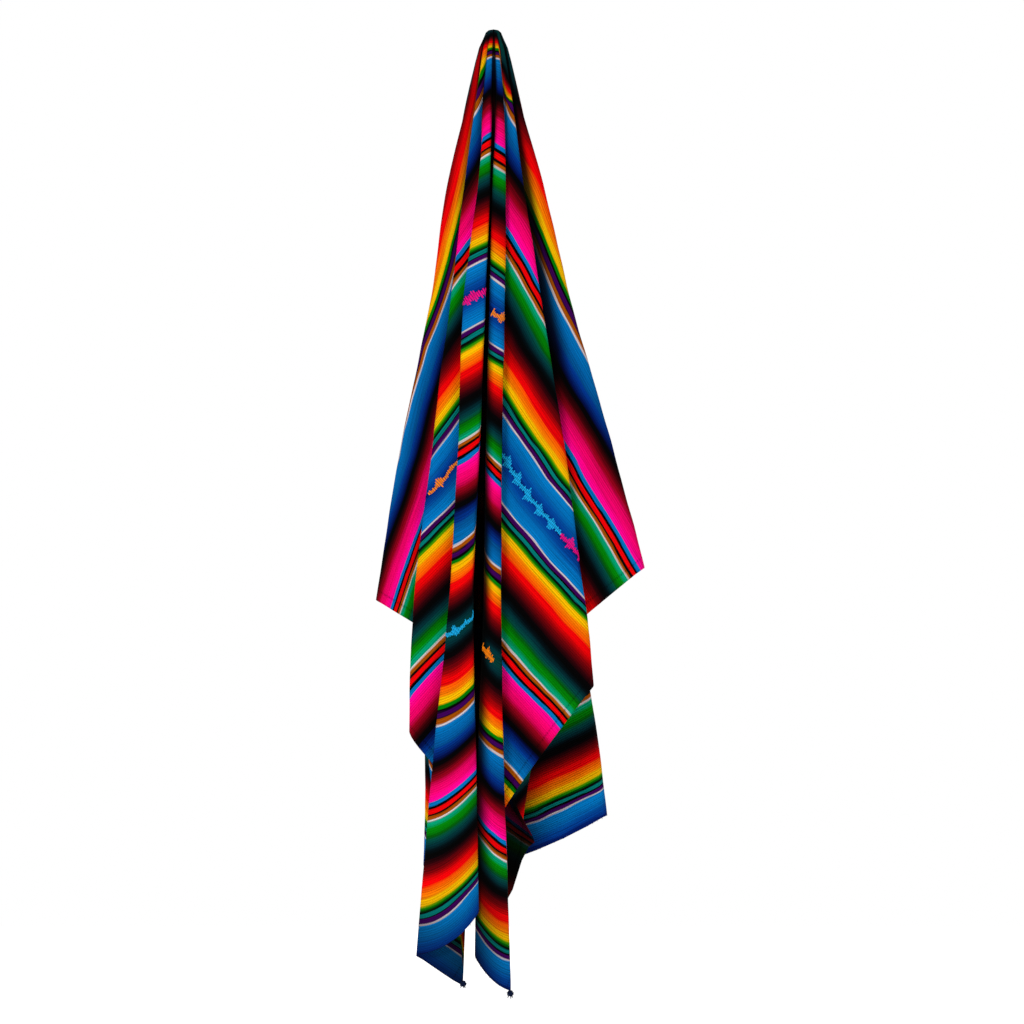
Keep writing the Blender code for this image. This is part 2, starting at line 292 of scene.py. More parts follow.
def node(tree: bpy.types.NodeTree, kind: str, settings: dict[str, Any] | None = None,
         inputs: dict[Any, Any] | None = None) -> bpy.types.Node:
    """Adds a node with its settings, values and links.

    Args:
        tree: the material's tree.
        kind: the node's type.
        settings: attributes of the node.
        inputs: socket name or number to a value or to the socket that feeds it.

    Returns:
        The node.
    """
    made = tree.nodes.new(kind)
    for key, value in (settings or {}).items():
        setattr(made, key, value)
    for key, value in (inputs or {}).items():
        if isinstance(value, bpy.types.NodeSocket):
            tree.links.new(value, made.inputs[key])
        else:
            made.inputs[key].default_value = value
    return made


def reckon(tree: bpy.types.NodeTree, operation: str, *values: Any) -> bpy.types.NodeSocket:
    """Adds a math node.

    Args:
        tree: the material's tree.
        operation: what it does.
        values: its numbers, or the sockets that feed it.

    Returns:
        The socket with the result.
    """
    return node(tree, "ShaderNodeMath", {"operation": operation}, dict(enumerate(values))).outputs[0]


def smooth(xs: Sequence[float], ys: Sequence[float], at: np.ndarray) -> np.ndarray:
    """Cubic through a short table, with slopes taken from its neighbours.

    Args:
        xs: where the table is given.
        ys: its values.
        at: where it is read.

    Returns:
        The values there.
    """
    xs = np.asarray(xs, float)
    ys = np.asarray(ys, float)
    slope = np.gradient(ys, xs)
    i = np.clip(np.searchsorted(xs, at, side="right") - 1, 0, len(xs) - 2)
    width = xs[i + 1] - xs[i]
    w = (at - xs[i]) / width
    near = (1 + 2 * w) * (1 - w) ** 2 * ys[i] + w * (1 - w) ** 2 * width * slope[i]
    far = w * w * (3 - 2 * w) * ys[i + 1] + w * w * (w - 1) * width * slope[i + 1]
    return near + far


@dataclass
class Drape:
    """Where the hanging cloth lies, worked out from its fold lines.

    Args:
        folds: fold lines in order round the cloth.
        creases: soft troughs and ridges on it.
        rows: points from the hold point down to the edge.
        steps: columns from one fold line to the next.
        broad_steps: the same on the broad leaves that show most.
        broad: names of the lines where those leaves start.
    """

    folds: Sequence[Fold]
    creases: Sequence[Crease]
    rows: int = 116
    steps: int = 7
    broad_steps: int = 14
    broad: frozenset[str] = frozenset({
        "right strip inner", "right strip back", "right panel back", "left sleeve edge", "left panel edge",
        "left strip edge", "right sleeve edge", "back valley 1", "back fold",
    })
    grid: np.ndarray = field(init=False)

    def __post_init__(self) -> None:
        """Works the grid out once."""
        self.grid = self.work_out()

    def fold_lines(self, drops: np.ndarray) -> tuple[np.ndarray, np.ndarray]:
        """Places of every fold line at each drop.

        Args:
            drops: distances below the hold point.

        Returns:
            Places across, and places front to back.
        """
        cap = [float(np.interp(d, CAP_DROP, CAP_HALF)) for d in CAP_DROP]
        xs = np.zeros((len(drops), len(self.folds)))
        ys = np.zeros_like(xs)
        for k, fold in enumerate(self.folds):
            turn = math.radians(fold.cap)
            inner = CAP_VALLEY if fold.turn is Turn.VALLEY else [1.0] * len(CAP_DROP)
            cap_x = [CAP_MIDDLE + math.sin(turn) * c * v for c, v in zip(cap, inner)]
            cap_y = [-math.cos(turn) * c * v * ROUND_TOP for c, v in zip(cap, inner)]
            spread = (fold.across[-1] - fold.across[-2]) / (LEVEL_DROP[-1] - LEVEL_DROP[-2])
            last = fold.across[-1] + spread * (FLARE - LEVEL_DROP[-1])
            levels = list(CAP_DROP[5:]) + list(LEVEL_DROP) + [FLARE]
            line_x = cap_x[5:] + list(fold.across) + [last]
            line_y = cap_y[5:] + [fold.depth * f for f in LEVEL_DEPTH] + [fold.depth * FLARE_DEPTH]
            high = drops < CAP_DROP[5]
            xs[:, k] = np.where(high, np.interp(drops, CAP_DROP, cap_x), smooth(levels, line_x, drops))
            ys[:, k] = np.where(high, np.interp(drops, CAP_DROP, cap_y), smooth(levels, line_y, drops))
        return xs, ys

    def sheet_lines(self, drops: np.ndarray, xs: np.ndarray, ys: np.ndarray) -> tuple[np.ndarray, np.ndarray]:
        """Where each fold line lies on the flat cloth at each drop.

        Args:
            drops: distances below the hold point.
            xs: places across.
            ys: places front to back.

        Returns:
            Places across the flat cloth, and along it.
        """
        step = np.sqrt(np.diff(xs, axis=0) ** 2 + np.diff(ys, axis=0) ** 2 + np.diff(drops)[:, None] ** 2)
        run = np.vstack([np.zeros(len(self.folds)), np.cumsum(step, axis=0)])
        phi = np.radians([fold.phi for fold in self.folds])
        low = np.array([fold.low for fold in self.folds])
        top = np.array([fold.top for fold in self.folds])
        along = low + (top - low) * np.exp(-run / TOP_SETTLE) + run * np.cos(phi)
        along -= (top - APEX_ALONG) * np.exp(-(run / APEX_SETTLE) ** 3)
        for k, fold in enumerate(self.folds):
            if fold.name in SWINGS:
                along[:, k] += np.interp(run[:, k], *SWINGS[fold.name])
        return run * np.sin(phi), along

    def shares(self, name: str) -> np.ndarray:
        """Places of the columns between a fold line and the next, closer together near the folds."""
        steps = self.broad_steps if name in self.broad else self.steps
        return 0.5 - 0.5 * np.cos(np.pi * np.arange(steps) / steps)

    def painted_shade_share(self, fold: Fold, drop: float) -> float:
        """How deep in painted shade a fold line lies at a drop, from 0 on a fold to 1 in a valley."""
        plain = 0.8 if fold.turn is Turn.VALLEY else 0.0
        shades = PAINTED_SHADES.get(fold.name, (plain,) * 4)
        return float(np.interp(drop, PAINTED_SHADE_DROP, shades + (HEM_PAINTED_SHADE.get(fold.name, shades[-1]),)))

    def ring(self, drop: float, xs: np.ndarray, ys: np.ndarray, across: np.ndarray, along: np.ndarray,
             bend: np.ndarray) -> np.ndarray:
        """One level of the cloth: a rounded pass between each fold and the next.

        Args:
            drop: distance below the hold point.
            xs: places of the fold lines across.
            ys: their places front to back.
            across: their places across the flat cloth.
            along: their places along it.
            bend: radius of each fold.

        Returns:
            A row a column: x, y, across, along and how far it lies in a valley, which sets its painted shade.
        """
        here = np.stack([xs, ys], axis=1)
        ahead = np.roll(here, -1, axis=0) - here
        back = np.roll(here, 1, axis=0) - here
        chord = np.maximum(np.linalg.norm(ahead, axis=1), 1e-9)
        chord_back = np.maximum(np.linalg.norm(back, axis=1), 1e-9)
        tangent = ahead / chord[:, None] - back / chord_back[:, None]
        tangent /= np.maximum(np.linalg.norm(tangent, axis=1), 1e-9)[:, None]
        w = np.linspace(0, 1, 49)[:, None]
        out = []
        for k, fold in enumerate(self.folds):
            n = (k + 1) % len(xs)
            m0 = tangent[k] * min(math.sqrt(6 * chord[k] * bend[k]), 1.2 * chord[k])
            m1 = tangent[n] * min(math.sqrt(6 * chord[k] * bend[n]), 1.2 * chord[k])
            path = (1 + 2 * w) * (1 - w) ** 2 * here[k] + w * (1 - w) ** 2 * m0
            path = path + w * w * (3 - 2 * w) * here[n] + w * w * (w - 1) * m1
            run = np.concatenate([[0], np.cumsum(np.linalg.norm(np.diff(path, axis=0), axis=1))])
            run = run / max(run[-1], 1e-9)
            at = self.shares(fold.name)
            # Painted shade of the two fold lines, spread across the pass between them
            deep = [self.painted_shade_share(f, drop) for f in (fold, self.folds[n])]
            bow = BOWS.get(fold.name, 0.0) * min(1.0, drop / BOW_DROP) ** 3
            out.append(np.stack([
                np.interp(at, run, path[:, 0]),
                np.interp(at, run, path[:, 1]),
                across[k] + (across[n] - across[k]) * at,
                along[k] + (along[n] - along[k]) * at + bow * 4 * at * (1 - at),
                deep[0] + (deep[1] - deep[0]) * at,
            ], axis=1))
        return np.concatenate(out)

    def work_out(self) -> np.ndarray:
        """The whole cloth, columns by rows.

        Returns:
            For each column and row: x, y and z in metres, across and along in units, and the valley share,
                which sets the painted shade.
        """
        shoulder = CAP_DROP[5]
        drops = np.concatenate([CAP_DROP[:5], np.arange(shoulder, DEEPEST + 4, 4.0)])
        xs, ys = self.fold_lines(drops)
        across, along = self.sheet_lines(drops, xs, ys)
        bend = np.array([fold.bend for fold in self.folds])
        scale = np.interp(drops, (0, shoulder, 150, 300), (0.25, 0.45, 0.7, 1.0))
        fine = np.stack([
            self.ring(drops[i], xs[i], ys[i], across[i], along[i], bend * scale[i]) for i in range(len(drops))
        ])
        columns = []
        ends = self.hem(drops, fine)
        for c, end in enumerate(ends):
            line = fine[:, c]
            body = shoulder + (end - shoulder) * (np.arange(self.rows - 4) / (self.rows - 5)) ** 1.08
            levels = np.concatenate([CAP_DROP[:5], body])
            read = [np.interp(levels, drops, line[:, j]) for j in range(5)]
            columns.append(np.stack([
                (read[0] - CAP_MIDDLE) * UNIT, read[1] * UNIT, -levels * UNIT, read[2], read[3], read[4],
            ], axis=1))
        grid = np.stack(columns)
        grid[:, :, :3] += self.normals(grid) * self.heights(grid)[:, :, None]
        return grid

    def hem(self, drops: np.ndarray, fine: np.ndarray) -> np.ndarray:
        """Where each column reaches the edge of the cloth, with soft tips where a fold meets a hem.

        Args:
            drops: distances below the hold point.
            fine: the cloth at each of them, long enough everywhere.

        Returns:
            A drop for each column.
        """
        sides = np.abs(fine[:, :, 2]) / HALF_WIDTH
        over = np.maximum(sides, np.abs(fine[:, :, 3]) / HALF_LENGTH)
        ends, at_side, points = [], [], []
        for c in range(fine.shape[1]):
            beyond = over[:, c] > 1
            last = int(np.argmax(beyond)) if beyond.any() else len(drops) - 1
            share = min(1.0, (1 - over[last - 1, c]) / (over[last, c] - over[last - 1, c]))
            ends.append(drops[last - 1] + (drops[last] - drops[last - 1]) * share)
            at_side.append(sides[last, c] >= over[last, c])
            points.append([np.interp(ends[-1], drops, fine[:, c, j]) for j in (0, 1)])
        ends, at_side, points = np.array(ends), np.array(at_side), np.array(points)
        step = np.linalg.norm(np.diff(points, axis=0, append=points[:1]), axis=1)
        run = np.cumsum(step) - step
        corners = run[at_side != np.roll(at_side, 1)]
        apart = np.abs(run[:, None] - run[None])
        apart = np.minimum(apart, step.sum() - apart)
        weight = np.exp(-(apart / SOFT_TIP) ** 2) * (step + np.roll(step, 1))[None]
        soft = (weight * ends[None]).sum(axis=1) / weight.sum(axis=1)
        clear = np.clip(np.abs(run[:, None] - corners[None]).min(axis=1) / 25 - 0.6, 0, 1)
        return ends + (soft - ends) * clear

    def normals(self, grid: np.ndarray) -> np.ndarray:
        """Outward directions of the cloth at each point.

        Args:
            grid: the cloth, columns by rows.

        Returns:
            Unit vectors, columns by rows.
        """
        points = grid[:, :, :3]
        round_it = np.roll(points, -1, axis=0) - np.roll(points, 1, axis=0)
        down = np.gradient(points, axis=1)
        normal = np.cross(down, round_it)
        return normal / np.maximum(np.linalg.norm(normal, axis=2), 1e-12)[:, :, None]

    def heights(self, grid: np.ndarray) -> np.ndarray:
        """How far the creases and the uneven hang move each point outward, in metres.

        Args:
            grid: the cloth, columns by rows.

        Returns:
            A height for each point.
        """
        s, t, valley = grid[:, :, ACROSS], grid[:, :, ALONG], grid[:, :, VALLEY]
        total = np.zeros_like(s)
        for crease in self.creases:
            start, end = np.array(crease.start), np.array(crease.end)
            run = end - start
            long = float(np.linalg.norm(run))
            along = ((s - start[0]) * run[0] + (t - start[1]) * run[1]) / long ** 2
            aside = ((s - start[0]) * run[1] - (t - start[1]) * run[0]) / long
            fade = np.clip(np.minimum(along, 1 - along) * 4, 0, 1)
            fade = fade * fade * (3 - 2 * fade)
            bow = 0.16 * crease.width * np.sin(along * 5.1 + start[0])
            total += crease.height * fade * np.exp(-((aside + bow) / crease.width) ** 2)
        uneven = np.sin(s * 0.061 + 0.4 * np.sin(t * 0.043))
        uneven *= np.sin(t * 0.037 + 0.7 * np.sin(s * 0.029 + 1.1))
        uneven += 0.5 * np.sin(s * 0.133 + t * 0.071 + 0.9) * np.sin(t * 0.109 - s * 0.031)
        total += 0.42 * uneven
        open_leaf = np.clip(1.15 - valley, 0.1, 1) * np.clip((-grid[:, :, 2] / UNIT - 60) / 160, 0, 1)
        return total * open_leaf * 0.001


class SheetFinder:
    """Finds the place in space of a place on the flat cloth."""

    def __init__(self, grid: np.ndarray, normals: np.ndarray) -> None:
        """Lays the cloth's grid out flat.

        Args:
            grid: the cloth, columns by rows.
            normals: its outward directions.
        """
        self.grid = grid
        self.normals = normals
        columns, rows = grid.shape[:2]
        flat = [Vector((p[ACROSS], p[ALONG], 0)) for p in grid.reshape(-1, 6)]
        self.cells = []
        for c in range(columns):
            n = (c + 1) % columns
            for r in range(4, rows - 1):
                a, b, d, e = c * rows + r, c * rows + r + 1, n * rows + r, n * rows + r + 1
                self.cells += [(a, b, e), (a, e, d)]
        self.flat = flat
        self.tree = BVHTree.FromPolygons(flat, self.cells)

    def place(self, across: float, along: float, lift: float) -> Vector | None:
        """A place on the hanging cloth.

        Args:
            across: across the flat cloth, in units.
            along: along it.
            lift: height over its middle surface, in metres.

        Returns:
            The place, or None outside the cloth.
        """
        hit, _, index, _ = self.tree.ray_cast(Vector((across, along, 1)), Vector((0, 0, -1)))
        if hit is None:
            return None
        a, b, c = self.cells[index]
        pa, pb, pc = (np.array(self.flat[i][:2]) for i in (a, b, c))
        sides = np.array([pb - pa, pc - pa]).T
        u, v = np.linalg.solve(sides, np.array([across, along]) - pa)
        weights = (1 - u - v, u, v)
        points = self.grid.reshape(-1, 6)
        outward = self.normals.reshape(-1, 3)
        at = sum(w * points[i, :3] for w, i in zip(weights, (a, b, c)))
        up = sum(w * outward[i] for w, i in zip(weights, (a, b, c)))
        return Vector(at + up / max(np.linalg.norm(up), 1e-9) * lift)


@dataclass(frozen=True)
class WeftFacedWool:
    """Hand-woven wool with the weft packed over the warp: matt, ribbed along each pick, a little hairy.

    The chart runs from the middle of the blue band, 0, to the middle of the teal one, 1. The woven order
    turns back at both, so each colour comes twice in a repeat.

    Args:
        chart: share of the way and sRGB hex of the yarn there.
        pick_mm: distance of the woven rows that show, drawn as coarse as they show from a step away.
        rib_mm: distance of the warp ribs under them.
    """

    chart: tuple[tuple[float, str], ...]
    pick_mm: float = 2.7
    rib_mm: float = 3.4

    def ramps(self, tree: bpy.types.NodeTree, share: bpy.types.NodeSocket) -> bpy.types.NodeSocket:
        """Colours of the stripes.

        Args:
            tree: the material's tree.
            share: socket with the place in the chart.

        Returns:
            The socket with the colour.
        """
        result = None
        pieces = [self.chart[i:i + 25] for i in range(0, len(self.chart) - 1, 24)]
        for piece in pieces:
            first, last = piece[0][0], piece[-1][0]
            local = node(tree, "ShaderNodeMapRange",
                         inputs={"Value": share, "From Min": first, "From Max": last})
            ramp = node(tree, "ShaderNodeValToRGB", inputs={"Fac": local.outputs["Result"]})
            stops = ramp.color_ramp.elements
            for number, (place, code) in enumerate(piece):
                at = (place - first) / (last - first)
                stop = stops[number] if number < 1 else (stops[1] if number == 1 else stops.new(at))
                stop.position = at
                stop.color = linear(code)
            if result is None:
                result = ramp.outputs["Color"]
            else:
                here = reckon(tree, "GREATER_THAN", share, first)
                mix = node(tree, "ShaderNodeMix", {"data_type": "RGBA"},
                           {"Factor": here, "A": result, "B": ramp.outputs["Color"]})
                result = mix.outputs["Result"]
        return result

    def build(self, name: str) -> bpy.types.Material:
        """Makes the material.

        Args:
            name: its name.

        Returns:
            The material.
        """
        material = bpy.data.materials.new(name)
        material.use_nodes = True
        tree = material.node_tree
        shader = tree.nodes["Principled BSDF"]
        sheet = node(tree, "ShaderNodeUVMap", {"uv_map": "sheet"})
        place = node(tree, "ShaderNodeSeparateXYZ", inputs={0: sheet.outputs[0]})
        across, along = place.outputs[0], place.outputs[1]
        # Hand-beaten rows are never quite straight
        sway = node(tree, "ShaderNodeTexNoise",
                    inputs={"Vector": sheet.outputs[0], "Scale": 7.0, "Detail": 2.5})
        shift = reckon(tree, "MULTIPLY_ADD", sway.outputs["Fac"], 0.016, -0.008)
        # Threads of one row, long across the cloth and thin along it
        drawn = node(tree, "ShaderNodeMapping",
                     inputs={"Vector": sheet.outputs[0], "Scale": (8.0, 520.0, 1.0)})
        threads = node(tree, "ShaderNodeTexNoise",
                       inputs={"Vector": drawn.outputs[0], "Scale": 1.0, "Detail": 3.0, "Roughness": 0.6})
        comb = reckon(tree, "MULTIPLY_ADD", threads.outputs["Fac"], 0.004, -0.002)
        combed = reckon(tree, "ADD", reckon(tree, "ADD", along, shift), comb)
        repeat = STRIPE_REPEAT * UNIT
        fold = reckon(tree, "PINGPONG", reckon(tree, "ABSOLUTE", combed), repeat)
        share = reckon(tree, "MULTIPLY_ADD", fold, -1 / repeat, 1.0)
        colour = self.ramps(tree, share)
        picks = node(tree, "ShaderNodeTexWave", {"bands_direction": "Y"}, {
            "Vector": sheet.outputs[0], "Scale": 314.0 / self.pick_mm, "Distortion": 0.9, "Detail": 1.0,
            "Detail Scale": 0.6})
        thread_tone = node(tree, "ShaderNodeMapRange", inputs={
            "Value": threads.outputs["Fac"], "From Min": 0.3, "From Max": 0.7, "To Min": 0.66,
            "To Max": 1.16})
        pick_tone = reckon(tree, "MULTIPLY_ADD", picks.outputs["Fac"], 0.28, -0.14)
        tone = reckon(tree, "ADD", thread_tone.outputs[0], pick_tone)
        # Painted shade: the colour darkens by the valley attribute, as little light reaches the bottom of a
        # deep fold
        painted_shade_share = node(tree, "ShaderNodeAttribute", {"attribute_name": "valley"})
        painted_fold_shade = node(tree, "ShaderNodeMapRange", {"interpolation_type": "SMOOTHSTEP"}, {
            "Value": painted_shade_share.outputs["Fac"], "From Min": 0.45, "From Max": 0.95, "To Min": 1.0,
            "To Max": 0.05})
        both = reckon(tree, "MULTIPLY", tone, painted_fold_shade.outputs[0])
        # The sewn side hem: a turn of cloth 11 mm wide, held by a line of stitches
        side = reckon(tree, "ABSOLUTE", across)
        stitch = reckon(tree, "COMPARE", side, SIDE_STITCH, 0.0011)
        dash = node(tree, "ShaderNodeTexWave", {"bands_direction": "Y"},
                    {"Vector": sheet.outputs[0], "Scale": 0.314 / 0.0038})
        sewn = reckon(tree, "MULTIPLY", stitch, dash.outputs["Fac"])
        shade = reckon(tree, "MULTIPLY_ADD", sewn, -0.4, 1.0)
        value = reckon(tree, "MULTIPLY", both, shade)
        deep = node(tree, "ShaderNodeGamma", inputs={"Color": colour, "Gamma": 1.14})
        tinted = node(tree, "ShaderNodeHueSaturation",
                      inputs={"Color": deep.outputs[0], "Value": value, "Saturation": 1.04})
        tree.links.new(tinted.outputs[0], shader.inputs["Base Color"])
        # Relief of the rows, the warp ribs under them, the threads and the side hem
        ribs = node(tree, "ShaderNodeTexWave", {"bands_direction": "X"}, {
            "Vector": sheet.outputs[0], "Scale": 314.0 / self.rib_mm, "Distortion": 0.8, "Detail": 1.0})
        relief = reckon(tree, "MULTIPLY_ADD", ribs.outputs["Fac"], 0.35, picks.outputs["Fac"])
        more = reckon(tree, "MULTIPLY_ADD", threads.outputs["Fac"], 0.9, relief)
        hem = node(tree, "ShaderNodeMapRange", inputs={
            "Value": side, "From Min": SIDE_TURN, "From Max": SIDE_STITCH, "To Min": 0.0, "To Max": 1.6})
        ridge = reckon(tree, "ADD", more, hem.outputs[0])
        pressed = reckon(tree, "MULTIPLY_ADD", sewn, -2.0, ridge)
        bump = node(tree, "ShaderNodeBump",
                    inputs={"Strength": 0.75, "Distance": 0.0006, "Height": pressed})
        tree.links.new(bump.outputs[0], shader.inputs["Normal"])
        shader.inputs["Roughness"].default_value = 0.86
        shader.inputs["Specular IOR Level"].default_value = 0.03
        shader.inputs["Sheen Weight"].default_value = 0.004
        shader.inputs["Sheen Roughness"].default_value = 0.5
        return material


@dataclass(frozen=True)
class SpunYarn:
    """Plied wool yarn: matt and hairy, with the slant of its ply.

    Args:
        colour: sRGB hex of the yarn.
        ply_mm: distance from one turn of the ply to the next, drawn coarse enough to show.
    """

    colour: str
    ply_mm: float = 1.6

    def build(self, name: str) -> bpy.types.Material:
        """Makes the material.

        Args:
            name: its name.

        Returns:
            The material.
        """
        material = bpy.data.materials.new(name)
        material.use_nodes = True
        tree = material.node_tree
        shader = tree.nodes["Principled BSDF"]
        place = node(tree, "ShaderNodeTexCoord")
        ply = node(tree, "ShaderNodeTexWave", {"bands_direction": "DIAGONAL"}, {
            "Vector": place.outputs["Object"], "Scale": 181.0 / self.ply_mm, "Distortion": 1.2,
            "Detail": 1.0})
        hair = node(tree, "ShaderNodeTexNoise", inputs={"Vector": place.outputs["Object"], "Scale": 900.0})
        low = linear(self.colour)
        mix = node(tree, "ShaderNodeMix", {"data_type": "RGBA"}, {
            "Factor": ply.outputs["Fac"], "A": tuple(c * 0.7 for c in low[:3]) + (1.0,),
            "B": tuple(min(1.0, c * 1.12) for c in low[:3]) + (1.0,)})
        tree.links.new(mix.outputs["Result"], shader.inputs["Base Color"])
        height = reckon(tree, "ADD", ply.outputs["Fac"], hair.outputs["Fac"])
        bump = node(tree, "ShaderNodeBump", inputs={"Strength": 0.6, "Distance": 0.0005, "Height": height})
        tree.links.new(bump.outputs[0], shader.inputs["Normal"])
        shader.inputs["Roughness"].default_value = 0.85
        shader.inputs["Specular IOR Level"].default_value = 0.1
        shader.inputs["Sheen Weight"].default_value = 0.015
        return material


def finish_piece(work: bmesh.types.BMesh, name: str, material: bpy.types.Material) -> bpy.types.Object:
    """Turns a mesh into a smooth-shaded piece that rides on the part.

    Args:
        work: the mesh.
        name: the piece's name.
        material: its finish.

    Returns:
        The piece.
    """
    mesh = bpy.data.meshes.new(name)
    work.to_mesh(mesh)
    work.free()
    for face in mesh.polygons:
        face.use_smooth = True
    mesh.materials.append(material)
    piece = bpy.data.objects.new(name, mesh)
    bpy.context.scene.collection.objects.link(piece)
    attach(piece, "root")
    LOG.info("%s: %d faces", name, len(mesh.polygons))
    return piece


@dataclass
class SerapeCloth:
    """The one woven cloth, in its folds."""

    drape: Drape
    finish: WeftFacedWool

    def build(self) -> bpy.types.Object:
        """Makes the cloth.

        Returns:
            The piece.
        """
        grid = self.drape.grid
        columns, rows = grid.shape[:2]
        work = bmesh.new()
        bmesh.ops.create_grid(work, x_segments=columns, y_segments=rows - 1, size=0.5)
        work.verts.ensure_lookup_table()
        sheet = work.loops.layers.uv.new("sheet")
        # The valley share, kept on each point for the material's painted shade in the folds
        valley = work.verts.layers.float.new("valley")
        wide = columns + 1
        for face in work.faces:
            for loop in face.loops:
                row, column = divmod(loop.vert.index, wide)
                point = grid[column % columns, row]
                loop[sheet].uv = (point[ACROSS] * UNIT, point[ALONG] * UNIT)
        for vert in work.verts:
            row, column = divmod(vert.index, wide)
            point = grid[column % columns, row]
            vert.co = point[:3]
            vert[valley] = point[VALLEY]
        bmesh.ops.remove_doubles(work, verts=work.verts[:], dist=1e-6)
        bmesh.ops.reverse_faces(work, faces=work.faces[:])
        piece = finish_piece(work, "woven_cloth", self.finish.build("weft_faced_wool"))
        wall = piece.modifiers.new("wall", "SOLIDIFY")
        wall.thickness = WALL
        wall.offset = 0
        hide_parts("serape_cloth")
        return piece


@dataclass
class Brocade:
    """Small figures laid in by hand over the blue and teal bands, in thick yarn that stands off the cloth.

    Args:
        finder: finds places on the cloth.
        rows: the rows of figures.
        pitch: distance from one stitch to the next, in units.
        thick: width of a stitch.
    """

    finder: SheetFinder
    rows: Sequence[FigureRow]
    pitch: float = 1.95
    thick: float = 1.75

    def stitch(self, work: bmesh.types.BMesh, across: float, along: float, reach: float) -> None:
        """Adds one stitch, a short raised ribbon of yarn over the band.

        Args:
            work: the mesh.
            across: its middle across the flat cloth, in units.
            along: its middle along it.
            reach: its length.
        """
        steps = 4
        made = bmesh.ops.create_grid(work, x_segments=steps, y_segments=2, size=0.5)["verts"]
        for number, vert in enumerate(made):
            row, step = divmod(number, steps + 1)
            share = step / steps
            arch = 0.55 + 0.45 * math.sin(math.pi * share)
            high = 0.0008 + (0.0011 * arch if row == 1 else 0.0)
            narrow = 0.5 * self.thick * (0.7 + 0.3 * math.sin(math.pi * share))
            place = self.finder.place(across + (row - 1) * narrow, along + reach * (share - 0.5), high)
            if place is None:
                bmesh.ops.delete(work, geom=made, context="VERTS")
                return
            vert.co = place

    def build(self) -> list[bpy.types.Object]:
        """Makes one piece for each colour.

        Returns:
            The pieces.
        """
        chosen = random.Random(7)
        pieces = []
        for colour in sorted({row.colour for row in self.rows}):
            work = bmesh.new()
            for row in [r for r in self.rows if r.colour == colour]:
                reaches = row.figure.value
                for number, across in enumerate(np.arange(row.across[0], row.across[1], self.pitch)):
                    reach = reaches[number % len(reaches)] * chosen.uniform(0.88, 1.12)
                    drift = chosen.uniform(-0.6, 0.6) + 0.8 * math.sin(number * 0.7)
                    self.stitch(work, float(across), row.along + drift, reach)
            yarn = SpunYarn(colour).build(f"brocade_yarn_{colour}")
            pieces.append(finish_piece(work, f"brocade_{colour}", yarn))
        return pieces


@dataclass
class HemEnds:
    """Short ends of blue yarn along the two woven ends of the cloth, where the loom's warp was cut.

    Args:
        finder: finds places on the cloth.
        pitch: mean distance from one strand to the next, in units.
    """

    finder: SheetFinder
    pitch: float = 9.2

    def strand(self, work: bmesh.types.BMesh, root: Vector, way: Vector, long: float, thick: float) -> None:
        """Adds one tapering strand to the mesh.

        Args:
            work: the mesh.
            root: where it leaves the cloth.
            way: its direction.
            long: its length in metres.
            thick: its radius in metres.
        """
        made = bmesh.ops.create_cone(work, cap_ends=True, cap_tris=True, segments=5, radius1=thick,
                                     radius2=thick * 0.35, depth=long)["verts"]
        turn = Vector((0, 0, 1)).rotation_difference(way)
        for vert in made:
            vert.co = root + turn @ (vert.co + Vector((0, 0, long * 0.42)))

    def build(self, material: bpy.types.Material) -> bpy.types.Object:
        """Makes the strands.

        Args:
            material: their yarn.

        Returns:
            The piece.
        """
        chosen = random.Random(23)
        work = bmesh.new()
        for end in (-1, 1):
            across = -HALF_WIDTH + 6
            while across < HALF_WIDTH - 6:
                inside = self.finder.place(across, end * (HALF_LENGTH - 9), 0)
                edge = self.finder.place(across, end * (HALF_LENGTH - 1.5), 0)
                across += self.pitch * chosen.uniform(0.55, 1.45)
                if inside is None or edge is None or (edge - inside).length < 1e-5:
                    continue
                stray = Vector((chosen.uniform(-0.3, 0.3), chosen.uniform(-0.2, 0.2), -0.3))
                way = ((edge - inside).normalized() + stray).normalized()
                self.strand(work, edge, way, chosen.uniform(0.0015, 0.0035), chosen.uniform(0.0004, 0.0007))
        return finish_piece(work, "hem_yarn_ends", material)


@dataclass
class CornerKnot:
    """A knot of tied warp ends at a corner of the cloth, with the ends hanging out of it.

    Args:
        cad_node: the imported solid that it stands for.
        tails: number of ends.
    """

    cad_node: str
    tails: int = 4

    def build(self, material: bpy.types.Material) -> bpy.types.Object:
        """Makes the knot.

        Args:
            material: its yarn.

        Returns:
            The piece.
        """
        low, high = (Vector(corner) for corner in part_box(self.cad_node))
        middle, half = (low + high) / 2, (high - low) / 2
        chosen = random.Random(len(self.cad_node))
        work = bmesh.new()
        bmesh.ops.create_uvsphere(work, u_segments=28, v_segments=18, radius=1.0)
        for vert in work.verts:
            around = math.atan2(vert.co.y, vert.co.x)
            wound = 1 + 0.13 * math.sin(2 * around + 9 * vert.co.z)
            wound += 0.05 * math.sin(5 * around - 6 * vert.co.z)
            stretched = Vector((vert.co.x * half.x, vert.co.y * half.y, vert.co.z * half.z * 1.15))
            vert.co = middle + stretched * wound
        for number in range(self.tails):
            turn = number * 2.2 + 0.5
            way = Vector((math.cos(turn) * 0.35, math.sin(turn) * 0.3, -1)).normalized()
            root = middle + Vector((math.cos(turn) * half.x, math.sin(turn) * half.y, -half.z)) * 0.45
            long = chosen.uniform(0.0035, 0.006)
            made = bmesh.ops.create_cone(work, cap_ends=True, cap_tris=True, segments=6, radius1=0.0009,
                                         radius2=0.0004, depth=long)["verts"]
            spin = Vector((0, 0, 1)).rotation_difference(way)
            for vert in made:
                vert.co = root + spin @ (vert.co + Vector((0, 0, long * 0.45)))
        piece = finish_piece(work, f"{self.cad_node}_yarn", material)
        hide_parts(self.cad_node)
        return piece


